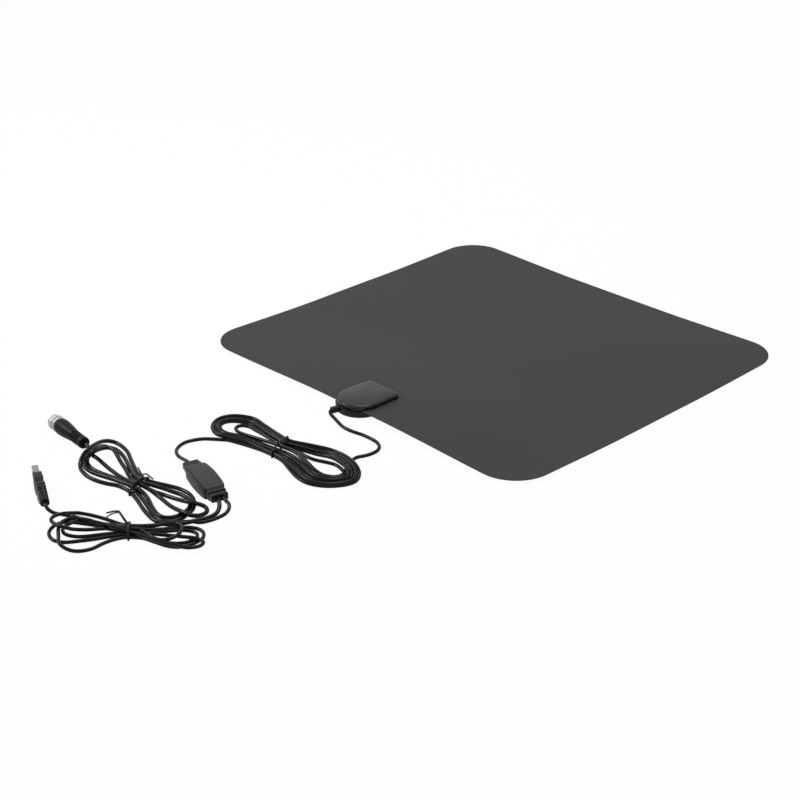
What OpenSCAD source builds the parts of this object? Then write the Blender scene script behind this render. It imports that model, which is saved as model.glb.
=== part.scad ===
// Flat film television antenna with a clip-on pod, an inline amplifier,
// a screw-on aerial plug and a power plug. Millimetres, +Z up.
// X runs along the edge that carries the pod, Y runs inwards across the film.

/* [Film] */
// Length of the film along the pod's edge
film_w = 360; // [300:1:420]
// Depth of the film across
film_d = 325; // [280:1:360]
// Radius of the film's corners
corner_r = 32; // [20:1:45]
// Thickness of the laminated film
film_t = 0.6; // [0.4:0.1:1]
// How far the film's corners curl up
corner_lift = 2.2; // [0:0.1:4]

/* [Pod] */
// Offset of the pod from the middle of the edge
pod_x = 2.5; // [0:0.5:5]
// Width of the pod
pod_w = 37; // [34:0.5:44]
// Length of the pod across the film's edge
pod_len = 43.5; // [40:0.5:50]
// How far the pod's round end passes the film's edge
pod_out = 6.5; // [5:0.5:9]
// Height of the film's underside where the pod holds it
pod_rise = 5.2; // [5:0.1:6]
// Height of the pod's crown
pod_top = 10.6; // [10.4:0.1:13]
// Wall of the pod's two shells
pod_wall = 1.6; // [1.2:0.1:2]

/* [Amplifier] */
// Length of the amplifier's case
amp_len = 39.5; // [36:0.5:46]
// Width at the middle of its barrel plan
amp_w = 17; // [16:0.5:20]
// Width at its ends
amp_w_end = 15.5; // [14.5:0.5:16]
// Height at the middle
amp_h = 11.2; // [10.6:0.1:14]
// Height at its ends
amp_h_end = 8.4; // [8.2:0.1:10]
// Wall of the case
amp_wall = 1.3; // [1:0.1:1.4]

/* [Aerial plug] */
// Largest radius of the moulded boot
boot_r = 6.4; // [6.3:0.1:7]
// Length of the moulded boot
boot_len = 38; // [34:1:44]
// Hexagon of the coupling nut across its flats
nut_af = 11; // [10.8:0.1:11.2]
// Length of the coupling nut
nut_len = 9; // [8:0.5:11]
// Radius of the centre contact
contact_r = 0.5; // [0.4:0.05:0.6]

/* [Power plug] */
// Thickness of the moulded grip, which stands on this edge
grip_t = 6.6; // [6.4:0.1:8]
// Height of the grip as it stands
grip_h = 14; // [13.8:0.1:16]
// Length of the grip
grip_len = 23; // [20:0.5:30]
// Thickness of the metal shell
shell_t = 4.5; // [4.4:0.1:4.6]
// Width of the metal shell
shell_w = 12; // [11.9:0.1:12.1]
// Length of the shell beyond the grip
shell_len = 12; // [11:0.1:12.4]

/* [Leads] */
// Diameter of the lead from the pod to the amplifier
lead_d = 2.8; // [2.4:0.1:3]
// Diameter of the lead to the aerial plug
tv_d = 3.2; // [2.8:0.1:3.4]
// Diameter of the lead to the power plug
usb_d = 2.7; // [2.4:0.1:3]

/* [Hidden] */
$fn = 96;

film_y = pod_out / 2;
film_edge = film_y - film_d / 2;
film_mid = pod_rise + film_t / 2;

// The film's plan, once round from the left end of the pod's edge
pod_side_steps = 30;
side_steps = 8;
corner_steps = 6;
ring_scale = [1, 0.985, 0.95, 0.9, 0.83, 0.754, 0.6, 0.4, 0.18];
recess_ring = 2;
foil_t = 0.1;
recess_t = 0.12;

// The level pad under the pod and the slopes that fall away from it
pad_x = 32;
pad_y = film_edge + 41;
slope_x = 140;
slope_y = 100;
curl_from_x = 45;
curl_from_y = 40;

function fade(t) = let (u = max(0, min(1, t))) 1 - u * u * (3 - 2 * u);
function film_lift(x, y) =
    pod_rise * fade((abs(x - pod_x) - pad_x) / slope_x) * fade((y - pad_y) / slope_y)
    + corner_lift * (1 - fade((abs(x) - curl_from_x) / (film_w / 2 - curl_from_x)))
        * (1 - fade((abs(y - film_y) - curl_from_y) / (film_d / 2 - curl_from_y)));

function side_points(p, q, n) = [for (i = [0:n - 1]) p + (q - p) * i / n];
function arc_points(c, start, n) =
    [for (i = [0:n - 1]) c + corner_r * [cos(start + 90 * i / n), sin(start + 90 * i / n)]];
straight_x = film_w / 2 - corner_r;
straight_y = film_d / 2 - corner_r;
film_outline = concat(
    side_points([-straight_x, -film_d / 2], [straight_x, -film_d / 2], pod_side_steps),
    arc_points([straight_x, -straight_y], -90, corner_steps),
    side_points([film_w / 2, -straight_y], [film_w / 2, straight_y], side_steps),
    arc_points([straight_x, straight_y], 0, corner_steps),
    side_points([straight_x, film_d / 2], [-straight_x, film_d / 2], side_steps),
    arc_points([-straight_x, straight_y], 90, corner_steps),
    side_points([-film_w / 2, straight_y], [-film_w / 2, -straight_y], side_steps),
    arc_points([-straight_x, -straight_y], 180, corner_steps)
);
round_n = len(film_outline);
rings = len(ring_scale);

function film_point(k, i, h) =
    let (p = film_outline[i % round_n] * ring_scale[k] + [0, film_y])
    [p.x, p.y, film_t / 2 + film_lift(p.x, p.y) + h];
function vertex(k, i) = k * round_n + i % round_n;

// Faces of one cell between ring k and the next, and of a wall below an edge
function quad_up(a, b, c, d) = [[a, d, c], [a, c, b]];
function quad_down(a, b, c, d) = [[a, b, c], [a, c, d]];
function wall(a, b, low) = [[a, b, b + low], [a, b + low, a + low]];

// One layer of the film. low and high are its faces' distances from the
// film's middle surface, ring by ring.
module film_layer(low, high) {
    middle = rings * round_n;
    under = middle + 1;
    centre_z = film_t / 2 + film_lift(0, film_y);
    polyhedron(
        points = concat(
            [for (k = [0:rings - 1]) for (i = [0:round_n - 1]) film_point(k, i, high[k])],
            [[0, film_y, centre_z + high[rings - 1]]],
            [for (k = [0:rings - 1]) for (i = [0:round_n - 1]) film_point(k, i, low[k])],
            [[0, film_y, centre_z + low[rings - 1]]]
        ),
        faces = concat(
            [for (k = [0:rings - 2]) for (i = [0:round_n - 1])
                each quad_up(vertex(k, i), vertex(k, i + 1), vertex(k + 1, i + 1), vertex(k + 1, i))],
            [for (k = [0:rings - 2]) for (i = [0:round_n - 1])
                each quad_down(vertex(k, i) + under, vertex(k, i + 1) + under,
                    vertex(k + 1, i + 1) + under, vertex(k + 1, i) + under)],
            [for (i = [0:round_n - 1]) [vertex(rings - 1, i), middle, vertex(rings - 1, i + 1)]],
            [for (i = [0:round_n - 1])
                [vertex(rings - 1, i) + under, vertex(rings - 1, i + 1) + under, middle + under]],
            [for (i = [0:round_n - 1]) each wall(vertex(0, i), vertex(0, i + 1), under)]
        )
    );
}

function recess(k) = k < recess_ring ? 0 : recess_t / 2;

// Cells of the two foil wings: a fan towards the film's side, a band round
// the middle and a feed strip down to the pod
last_band = rings - 2;
left_feed = floor(pod_side_steps / 2) - 2;
right_feed = floor(pod_side_steps / 2) + 1;
right_fan = pod_side_steps + corner_steps / 2;
left_fan = round_n - corner_steps - side_steps - corner_steps / 2;
fan_cells = side_steps + corner_steps;
function in_left(k, i) =
    k >= recess_ring && k <= last_band
    && ((i >= left_fan && i < left_fan + fan_cells)
        || (k == last_band && (i >= left_fan || i <= left_feed))
        || i == left_feed);
function in_right(k, i) =
    k >= recess_ring && k <= last_band
    && ((i >= right_fan && i < right_fan + fan_cells)
        || (k == last_band && i >= right_feed && i < right_fan + fan_cells)
        || i == right_feed);
function in_foil(left, k, i) =
    let (j = (i + round_n) % round_n) left ? in_left(k, j) : in_right(k, j);

module foil(left) {
    under = rings * round_n;
    polyhedron(
        points = concat(
            [for (k = [0:rings - 1]) for (i = [0:round_n - 1]) film_point(k, i, foil_t / 2)],
            [for (k = [0:rings - 1]) for (i = [0:round_n - 1]) film_point(k, i, -foil_t / 2)]
        ),
        faces = [for (k = [recess_ring:last_band]) for (i = [0:round_n - 1])
            if (in_foil(left, k, i))
                let (a = vertex(k, i), b = vertex(k, i + 1), c = vertex(k + 1, i + 1), d = vertex(k + 1, i))
                each concat(
                    quad_up(a, b, c, d),
                    quad_down(a + under, b + under, c + under, d + under),
                    in_foil(left, k - 1, i) ? [] : wall(a, b, under),
                    in_foil(left, k, i + 1) ? [] : wall(b, c, under),
                    in_foil(left, k + 1, i) ? [] : wall(c, d, under),
                    in_foil(left, k, i - 1) ? [] : wall(d, a, under)
                )]
    );
}

// Rivets that join the foil's feed strips to the board, and the pod's pegs
rivet_x = 12.8;
rivet_y = film_edge + 22;
rivet_r = 1.1;
rivet_head_r = 2;
rivet_head_t = 0.5;
peg_x = 10;
peg_y = film_edge + 33;
peg_r = 1.5;
peg_depth = 2.4;
module at_rivets() {
    for (s = [-1, 1]) translate([pod_x + s * rivet_x, rivet_y, 0]) children();
}
module at_pegs() {
    for (s = [-1, 1]) translate([pod_x + s * peg_x, peg_y, 0]) children();
}
module film_holes() {
    at_rivets() cylinder(h = 20, r = rivet_r);
    at_pegs() cylinder(h = 20, r = peg_r);
}

module film_front() {
    color("#4b4b4b") difference() {
        film_layer([for (k = [0:rings - 1]) recess(k)], [for (k = [0:rings - 1]) film_t / 2]);
        film_holes();
    }
}

module film_back() {
    color("#3d3d3d") difference() {
        film_layer([for (k = [0:rings - 1]) -film_t / 2], [for (k = [0:rings - 1]) -recess(k)]);
        film_holes();
    }
}

module foil_left() {
    color("#c9ccd0") difference() {
        foil(true);
        film_holes();
    }
}

module foil_right() {
    color("#c9ccd0") difference() {
        foil(false);
        film_holes();
    }
}

// The pod's plan is a half round with straight sides and a square inner end
pod_r = pod_w / 2;
pod_cy = film_edge - pod_out + pod_r;
pod_straight = pod_len - pod_r;
pod_fillet = 2;
pod_crown = 2.6;
end_drop = 2.4;
base_lip = 1.2;
base_r = pod_r + base_lip;
pod_chamfer = 0.5;
pod_floor = 1.4;

// Sweeps a half section (x outwards, y up) round the pod's plan
module d_form(straight) {
    translate([pod_x, pod_cy, 0]) {
        rotate_extrude() children();
        translate([0, straight, 0]) rotate([90, 0, 0]) linear_extrude(height = straight) {
            children();
            mirror([1, 0]) children();
        }
    }
}

function arc(c, r, from, to, n) =
    [for (i = [0:n]) let (a = from + (to - from) * i / n) c + r * [cos(a), sin(a)]];

// Half section with a filleted shoulder under a shallow crown
crown_steps = 5;
fillet_steps = 5;
function crown_r(flat) = (flat * flat + pod_crown * pod_crown) / (2 * pod_crown);
function crowned_half(r, low, top, fillet) =
    let (flat = r - fillet, big = crown_r(flat), lean = asin(flat / big))
    concat(
        [[0, low], [r, low]],
        arc([flat, top - pod_crown - fillet], fillet, 0, 90 - lean, fillet_steps),
        [for (i = [crown_steps - 1:-1:0])
            let (a = 90 - lean * i / crown_steps) [big * cos(a), top - big + big * sin(a)]]
    );

// Side view: the crown falls towards the inner end and is rounded over there
function end_outline(straight, r, low, top, fillet) =
    let (reach = straight - fillet)
    concat(
        [[-r - 1, low], [straight, low]],
        arc([reach, top - end_drop - fillet], fillet, 0, 75, fillet_steps),
        [for (i = [crown_steps - 1:-1:0]) let (y = reach * i / crown_steps) [y, top - end_drop * pow(y / reach, 2)]],
        [[0, top + 1], [-r - 1, top + 1]]
    );

module pod_dome(inset, low) {
    r = pod_r - inset;
    straight = pod_straight - inset;
    top = pod_top - inset;
    fillet = pod_fillet - inset / 2;
    intersection() {
        d_form(straight) polygon(crowned_half(r, low, top, fillet));
        translate([pod_x - r - 1, pod_cy, 0]) rotate([90, 0, 90])
            linear_extrude(height = 2 * r + 2) polygon(end_outline(straight, r, low, top, fillet));
    }
}

module tray_section(r, high, chamfer) {
    polygon([[0, 0], [r - chamfer, 0], [r, chamfer], [r, high], [0, high]]);
}

// A slab that holds all of the film inside the pod
module film_slab(low, high) {
    translate([pod_x - pod_w, film_edge, low]) cube([2 * pod_w, pod_len, high - low]);
}

module pod_cover() {
    color("#2b2b2b") {
        difference() {
            pod_dome(0, film_mid);
            difference() {
                pod_dome(pod_wall, film_mid - 1);
                at_pegs() cylinder(h = 20, r = peg_r + 0.8);
            }
            film_slab(film_mid - 1, pod_rise + film_t);
        }
        at_pegs() translate([0, 0, pod_rise - peg_depth]) cylinder(h = peg_depth + film_t, r = peg_r);
    }
}

// The lead leaves the pod's round end through a ribbed gland
gland_turn = -107;
gland_z = 3;
gland_neck_r = 1.9;
gland_flange_r = 2.4;
gland_rib_r = 2.8;
gland_groove_r = 2.2;
gland_out = 5.3;
gland_rib_t = 1.3;
gland_in = 1.2;
module at_gland() {
    translate([pod_x, pod_cy, gland_z]) rotate([0, 0, gland_turn]) rotate([0, 90, 0]) children();
}

pod_board_z = 2.4;
pod_board_t = 1;
pod_board_x = 30;
pod_board_y = [film_edge + 9, film_edge + 28];
module pod_base() {
    socket_r = peg_r + 1;
    color("#262626") difference() {
        union() {
            difference() {
                d_form(pod_straight) tray_section(base_r, film_mid, pod_chamfer);
                translate([0, 0, pod_floor])
                    d_form(pod_straight - pod_wall) tray_section(base_r - pod_wall, film_mid, 0);
            }
            at_pegs() cylinder(h = pod_rise, r = socket_r);
            for (s = [-1, 1]) translate([pod_x + s * 8 - 1, pod_board_y[0] + 2, 0])
                cube([2, pod_board_y[1] - pod_board_y[0] - 4, pod_board_z]);
        }
        film_slab(pod_rise, film_mid + 1);
        at_pegs() translate([0, 0, pod_rise - peg_depth]) cylinder(h = 20, r = peg_r);
        at_gland() cylinder(h = pod_w, r = gland_neck_r);
    }
}

module pod_board() {
    color("#2f6b3c") difference() {
        translate([pod_x - pod_board_x / 2, pod_board_y[0], pod_board_z])
            cube([pod_board_x, pod_board_y[1] - pod_board_y[0], pod_board_t]);
        at_rivets() cylinder(h = 20, r = rivet_r);
    }
}

module pod_balun() {
    size = [6, 4, 1.6];
    color("#3a3a3f")
        translate([pod_x - size.x / 2, pod_board_y[0] + 5, pod_board_z + pod_board_t]) difference() {
            cube(size);
            for (s = [-1, 1]) translate([size.x / 2 + s * 1.4, -1, size.z / 2]) rotate([-90, 0, 0])
                cylinder(h = size.y + 2, r = 0.45);
        }
}

module pod_rivets() {
    low = pod_board_z - 0.4;
    high = pod_rise + film_t;
    color("#b9a15a") at_rivets() {
        translate([0, 0, low]) cylinder(h = high - low + rivet_head_t, r = rivet_r);
        translate([0, 0, low]) cylinder(h = 0.4, r = rivet_head_r);
        translate([0, 0, pod_board_z + pod_board_t])
            cylinder(h = pod_rise - pod_board_z - pod_board_t, r = rivet_head_r - 0.4);
        translate([0, 0, high]) cylinder(h = rivet_head_t, r = rivet_head_r);
    }
}

module lead_gland() {
    color("#1d1d1d") at_gland() difference() {
        union() {
            translate([0, 0, base_r - pod_wall - gland_in - 0.5]) intersection() {
                cylinder(h = gland_in, r = gland_flange_r);
                translate([-gland_flange_r, -gland_flange_r, 0])
                    cube([gland_flange_r + gland_z - pod_floor - 0.1, 2 * gland_flange_r, gland_in]);
            }
            translate([0, 0, base_r - pod_wall - 1]) cylinder(h = pod_wall + gland_out + 1, r = gland_neck_r);
            translate([0, 0, base_r + 0.05]) cylinder(h = gland_out - 0.05, r = gland_groove_r);
            for (i = [0:2]) translate([0, 0, base_r + 0.05 + i * (gland_out - gland_rib_t - 0.05) / 2])
                cylinder(h = gland_rib_t, r = gland_rib_r);
        }
        cylinder(h = 3 * pod_r, r = lead_d / 2);
    }
}

// A lead is a tube swept along a list of points chosen by hand
function unit(v) = v / norm(v);
function run_dir(path, i) =
    unit(path[min(i + 1, len(path) - 1)] - path[max(i - 1, 0)]);
function level_side(d) = unit(cross([0, 0, 1], d));
tube_sides = 8;
module tube(path, d) {
    n = len(path);
    polyhedron(
        points = [for (i = [0:n - 1])
            let (t = run_dir(path, i), s = level_side(t), u = cross(t, s))
            for (j = [0:tube_sides - 1])
                let (a = 360 * (j + 0.5) / tube_sides)
                path[i] + d / 2 * (cos(a) * s + sin(a) * u)],
        faces = concat(
            [[for (j = [0:tube_sides - 1]) j]],
            [[for (j = [tube_sides - 1:-1:0]) (n - 1) * tube_sides + j]],
            [for (i = [0:n - 2]) for (j = [0:tube_sides - 1])
                let (a = i * tube_sides + j, b = i * tube_sides + (j + 1) % tube_sides)
                each [[a, a + tube_sides, b + tube_sides], [a, b + tube_sides, b]]]
        )
    );
}

// A hank is a waisted outline: two round ends and the tied middle
module hank(place, turn, height, left, middle, right) {
    translate([place.x, place.y, 0]) rotate([0, 0, turn]) linear_extrude(height = height) union() {
        for (end = [left, right]) hull() {
            translate([end.x, end.y]) circle(end.z, $fn = 32);
            translate([middle.x, middle.y]) circle(middle.z, $fn = 32);
        }
    }
}

// A tie is a wire bent round the hank's middle
module tie_ring(place, turn, across, height, wire) {
    translate([place.x, place.y, 0]) rotate([0, 0, turn]) rotate([90, 0, 90])
        linear_extrude(height = wire, center = true) difference() {
            translate([-across / 2, 0]) square([across, height + wire / 2]);
            translate([-across / 2 + wire, wire]) square([across - 2 * wire, height - 1.5 * wire]);
        }
}

module rod(p, q, r) {
    v = q - p;
    translate(p) rotate([0, acos(v.z / norm(v)), atan2(v.y, v.x)]) cylinder(h = norm(v), r = r, $fn = 24);
}

lead_z = lead_d / 2;
gland_dir = [cos(gland_turn), sin(gland_turn), 0];
gland_axis = [pod_x, pod_cy, gland_z];
lead_start_path = [
    gland_axis + (base_r - 8) * gland_dir, gland_axis + (base_r - 1) * gland_dir,
    gland_axis + (base_r + gland_out) * gland_dir,
    [-5, -173.2, 2.7], [-3, -174.7, 2.1], [0.8, -175.6, 1.6], [5.6, -176.7, lead_z],
    [12.8, -179.4, lead_z], [18.8, -181.2, lead_z], [25, -181.8, lead_z], [32, -181.2, lead_z],
    [40, -179.7, lead_z], [48, -179.3, lead_z], [55, -179.8, lead_z], [60, -181.5, lead_z],
    [64, -184.5, lead_z], [66.5, -189, lead_z], [67, -194.5, lead_z], [66, -200, lead_z],
    [63.5, -207.5, lead_z]
];
lead_end_path = [
    [-16, -254, lead_z], [-24, -257, lead_z], [-33.5, -264.5, lead_z], [-39.5, -270, lead_z],
    [-43, -276.5, lead_z], [-44.5, -283, lead_z], [-43, -289.5, lead_z], [-38.5, -296, lead_z],
    [-31, -300, 1.8], [-25, -301.4, 2.6], [-19, -302.6, 3.8], [-13, -304, 5]
];

module lead_start() {
    color("#161616") tube(lead_start_path, lead_d);
}

lead_hank_at = [15, -237];
lead_hank_turn = 3;
lead_hank_h = 8;
module lead_hank() {
    color("#161616")
        hank(lead_hank_at, lead_hank_turn, lead_hank_h, [-57, 0, 19], [-5, 0, 15], [52, 0, 26]);
}

tie_wire = 1.2;
module lead_tie() {
    color("#111111") tie_ring([10, -237.3], -14, 32, lead_hank_h, tie_wire);
}

// The amplifier's own frame: its long axis along X, its inlet at -X
amp_at = [18.5, -312.9, amp_h / 2];
amp_turn = -15.7;
amp_collar = 8;
amp_corner = 2.6;
amp_edge = 0.5;
cavity_edge = 0.3;
arch_steps = 8;

// The collars' necks fill the openings in the case's end walls
neck_w = 9.6;
neck_h = 4.6;
neck_corner = 1.2;
inner_flange = [11.6, 5.2, 1];
function amp_point(p) = amp_at
    + [p.x * cos(amp_turn) - p.y * sin(amp_turn), p.x * sin(amp_turn) + p.y * cos(amp_turn), p.z];
module at_amp() {
    translate(amp_at) rotate([0, 0, amp_turn]) children();
}

module lead_end() {
    color("#161616") tube(concat(lead_end_path,
        [amp_point([-amp_len / 2 - amp_collar, 0, 0])]), lead_d);
}

// Case with arched long sides, seen both from above and from the side
module barrel_body(inset, corner, edge) {
    length = amp_len - 2 * inset;
    intersection() {
        linear_extrude(height = amp_h, center = true)
            barrel_outline(length, amp_w - 2 * inset, amp_w_end - 2 * inset, corner);
        rotate([90, 0, 0]) linear_extrude(height = amp_w, center = true)
            barrel_outline(length, amp_h - 2 * inset, amp_h_end - 2 * inset, edge);
    }
}

// Half width of an arched side at a distance x from its middle
function arch(x, length, middle, end) = middle / 2 - (middle - end) / 2 * pow(2 * x / length, 2);

module barrel_outline(length, middle, end, corner) {
    reach = length / 2 - corner;
    corner_y = arch(reach, length, middle, end) - corner;
    half = concat(
        arc([-reach, corner_y], corner, 180, 90, 4),
        [for (i = [1 - arch_steps:arch_steps - 1])
            [reach * i / arch_steps, arch(reach * i / arch_steps, length, middle, end)]],
        arc([reach, corner_y], corner, 90, 0, 4)
    );
    polygon(concat(half, [for (p = half) -p]));
}

module slot_block(x0, x1, w, h, r) {
    translate([x0, 0, 0]) rotate([90, 0, 90]) linear_extrude(height = x1 - x0) {
        square([w - 2 * r, h], center = true);
        square([w, h - 2 * r], center = true);
        for (sx = [-1, 1]) for (sy = [-1, 1])
            translate([sx * (w / 2 - r), sy * (h / 2 - r)]) circle(r, $fn = 32);
    }
}

module amp_shell() {
    difference() {
        barrel_body(0, amp_corner, amp_edge);
        barrel_body(amp_wall, cavity_edge, cavity_edge);
        slot_block(-amp_len, amp_len, neck_w, neck_h, neck_corner);
    }
}

module amp_case_top() {
    color("#4a4a4a") at_amp() intersection() {
        amp_shell();
        translate([-amp_len, -amp_w, 0]) cube([2 * amp_len, 2 * amp_w, amp_h]);
    }
}

module amp_case_bottom() {
    color("#3a3a3a") at_amp() intersection() {
        amp_shell();
        translate([-amp_len, -amp_w, -amp_h]) cube([2 * amp_len, 2 * amp_w, amp_h]);
    }
}

// Rubber gland: a flange inside, a neck in the case's end wall and two
// steps outside with a groove between them. A step is [from, to, width, height].
module amp_gland(steps) {
    end = amp_len / 2;
    inside = end - amp_wall;
    slot_block(inside - inner_flange.z, inside, inner_flange.x, inner_flange.y, 1);
    slot_block(inside, end + amp_collar - 1, neck_w, neck_h, neck_corner);
    for (s = steps) slot_block(end + s[0], end + s[1], s[2], s[3], neck_corner);
}

module amp_inlet_gland() {
    color("#262626") at_amp() difference() {
        mirror([1, 0, 0]) amp_gland([[0, 3.6, 13, 6.6], [4.3, amp_collar, 12.2, 5.8]]);
        rotate([0, -90, 0]) cylinder(h = amp_len, r = lead_d / 2);
    }
}

tv_y = -1.5;
usb_y = 2.1;
module amp_outlet_gland() {
    color("#262626") at_amp() difference() {
        amp_gland([[0, 3.6, 13.6, 7.2], [4.3, amp_collar, 13, 5.8]]);
        translate([0, tv_y, 0]) rotate([0, 90, 0]) cylinder(h = amp_len, r = tv_d / 2);
        translate([0, usb_y, 0]) rotate([0, 90, 0]) cylinder(h = amp_len, r = usb_d / 2);
    }
}

amp_board_size = [31, 10.6, 1];
amp_board_top = -0.6;
module amp_board() {
    color("#2f6b3c") at_amp()
        translate([-amp_board_size.x / 2, -amp_board_size.y / 2, amp_board_top - amp_board_size.z])
            cube(amp_board_size);
}

module amp_chip() {
    body = [5, 4, 1.5];
    color("#202024") at_amp() translate([-2, 0, amp_board_top]) {
        translate([-body.x / 2, -body.y / 2, 0.2]) cube([body.x, body.y, body.z - 0.2]);
        for (i = [-1.5:1:1.5]) for (s = [-1, 1])
            translate([i * 1.2 - 0.2, s * body.y / 2 - 0.6, 0]) cube([0.4, 1.2, 0.5]);
    }
}

module amp_inductor() {
    color("#4b4238") at_amp() translate([8, 0, amp_board_top]) rotate_extrude()
        polygon([[0, 0], [2.6, 0], [2.6, 0.6], [1.6, 0.9], [1.6, 2.1], [2.6, 2.4], [2.6, 3], [0, 3]]);
}

module amp_capacitors() {
    color("#b58a5a") at_amp() for (p = [[-9, 2.6], [-9, -2.6], [3, 3.4]])
        translate([p[0] - 1, p[1] - 0.6, amp_board_top]) cube([2, 1.2, 0.9]);
}

tv_z = tv_d / 2;
tv_start_path = [
    amp_point([amp_len / 2 + amp_collar, tv_y, 0]),
    [48.6, -323.8, 5], [52.2, -326.4, 3.6], [55, -330.5, 2.1], [56, -335.3, tv_z],
    [55.5, -341, tv_z], [53, -347.7, tv_z]
];
module tv_lead_start() {
    color("#161616") tube(tv_start_path, tv_d);
}

tv_hank_at = [-20, -346.5];
tv_hank_turn = -7;
tv_hank_h = 7;
module tv_hank() {
    color("#161616")
        hank(tv_hank_at, tv_hank_turn, tv_hank_h, [-47, 0, 19], [5, -1, 10], [50, 4, 19]);
}

module tv_tie() {
    color("#111111") {
        tie_ring([-16, -347.5], -7, 22, tv_hank_h, tie_wire);
        rod([-16, -345, tv_hank_h], [-24, -332, 9.5], 0.5);
        rod([-16, -345, tv_hank_h], [-2, -336, 9.5], 0.5);
    }
}

// The aerial plug's own frame: Z along its axis, from the cord to the tip
connector_at = [-88.5, -343.2, boot_r];
connector_turn = 175;
module at_connector() {
    translate(connector_at) rotate([0, 0, connector_turn]) rotate([0, 90, 0]) children();
}

tv_end_path = [
    [-88.5, -343.2, boot_r], [-87.5, -343.3, boot_r], [-84, -343.6, 6]
];
module tv_lead_end() {
    color("#161616") tube([for (i = [len(tv_end_path) - 1:-1:0]) tv_end_path[i]], tv_d);
}

// Boot: ribbed relief, a swelling grip and a rounded shoulder
relief_len = 15;
relief_r = 4.6;
ferrule_r = 4.2;
ferrule_len = 14;
module connector_boot() {
    groove_pitch = 2.7;
    color("#202020") at_connector() rotate_extrude() difference() {
        polygon([[0, 0], [relief_r - 0.6, 0], [relief_r, 0.6], [relief_r + 0.1, relief_len],
            [5.2, 20], [boot_r - 0.4, 27], [boot_r, 33], [boot_r - 0.2, boot_len - 1.6],
            [boot_r - 1, boot_len - 0.3], [boot_r - 1.6, boot_len], [0, boot_len]]);
        for (i = [0:3]) translate([relief_r - 0.6, 5.2 + i * groove_pitch]) square([2, 1.1]);
        translate([-1, -1]) square([1 + tv_d / 2, boot_len - ferrule_len + 1]);
        translate([-1, boot_len - ferrule_len]) square([1 + ferrule_r, ferrule_len + 1]);
    }
}

// Post with a ferrule in the boot, a neck through the nut's lip and a
// flange that holds the nut
neck_r = 3.9;
nut_gap = 0.15;
lip_t = 2;
flange_r = 4.35;
flange_t = 1.4;
post_bore_r = 2.4;
post_end = boot_len + nut_gap + lip_t + nut_gap + flange_t;
module connector_body() {
    color("#c8c9cb") at_connector() rotate_extrude() difference() {
        union() {
            translate([0, boot_len - ferrule_len]) square([ferrule_r, ferrule_len]);
            square_ring(0, neck_r, boot_len, post_end);
            square_ring(0, flange_r, post_end - flange_t, post_end);
        }
        translate([-1, boot_len - ferrule_len + 1]) square([1 + post_bore_r, boot_len]);
        translate([-1, 0]) square([1 + tv_d / 2 + 0.2, boot_len]);
    }
}

module square_ring(inner, outer, low, high) {
    translate([inner, low]) square([outer - inner, high - low]);
}

module connector_insulator() {
    color("#e8e6dc") at_connector() rotate_extrude()
        square_ring(contact_r + 0.25, post_bore_r, boot_len - ferrule_len + 1, post_end);
}

contact_out = 5.4;
module centre_contact() {
    color("#c79a5b") at_connector() rotate_extrude() {
        square_ring(0, contact_r + 0.25, boot_len - ferrule_len + 1, post_end);
        square_ring(0, contact_r, post_end, post_end + contact_out);
        polygon([[0, post_end + contact_out], [contact_r, post_end + contact_out],
            [contact_r / 2, post_end + contact_out + 0.4], [0, post_end + contact_out + 0.4]]);
    }
}

nut_start = boot_len + nut_gap;
lip_r = neck_r + 0.08;
thread_r = 4.7;
nut_round_r = 6.2;
module coupling_nut() {
    color("#d5d6d8") at_connector() difference() {
        intersection() {
            translate([0, 0, nut_start]) cylinder(h = nut_len, r = nut_af / 2 / cos(30), $fn = 6);
            rotate_extrude() polygon([[0, nut_start], [nut_round_r - 0.7, nut_start],
                [nut_round_r, nut_start + 0.7], [nut_round_r, nut_start + nut_len - 0.9],
                [nut_round_r - 0.9, nut_start + nut_len], [0, nut_start + nut_len]]);
        }
        translate([0, 0, nut_start - 1]) cylinder(h = nut_len + 2, r = lip_r);
        translate([0, 0, nut_start + lip_t]) cylinder(h = nut_len, r = thread_r);
        translate([0, 0, nut_start + 2.6]) rotate_extrude()
            translate([nut_af / 2 - 0.25, 0]) square([2, 0.9]);
    }
}

// The power plug stands on its narrow edge. Its own frame: X towards the
// tip, Y across its thickness, Z up, from the middle of its rear end
usb_at = [-43.4, -409.2, grip_h / 2];
usb_turn = 155.5;
usb_relief = 11.3;
module at_usb() {
    translate(usb_at) rotate([0, 0, usb_turn]) children();
}
usb_exit = usb_at - usb_relief * [cos(usb_turn), sin(usb_turn), 0];

usb_z = usb_d / 2;
usb_start_path = [
    amp_point([amp_len / 2 + amp_collar, usb_y, 0]),
    [50.6, -319.4, 5.2], [55.4, -320.3, 4.2], [58.8, -323.6, 2.6], [60, -328.5, usb_z], [60.3, -334, usb_z],
    [59.6, -340, usb_z], [57, -346.8, usb_z]
];
module usb_lead_start() {
    color("#161616") tube(usb_start_path, usb_d);
}

usb_hank_at = [30, -396];
usb_hank_turn = 39;
usb_hank_h = 7;
module usb_hank() {
    color("#161616")
        hank(usb_hank_at, usb_hank_turn, usb_hank_h, [-25, 1, 25.5], [6, -1, 11], [42, -1, 17]);
}

module usb_tie() {
    color("#111111") {
        tie_ring([35, -393], 39, 24, usb_hank_h, 2);
        rod([30, -384, usb_hank_h], [14, -381, 10], 0.7);
        rod([14, -381, 10], [1, -390, 8], 0.45);
        rod([14, -381, 10], [5, -394, 8.2], 0.45);
    }
}

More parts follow.
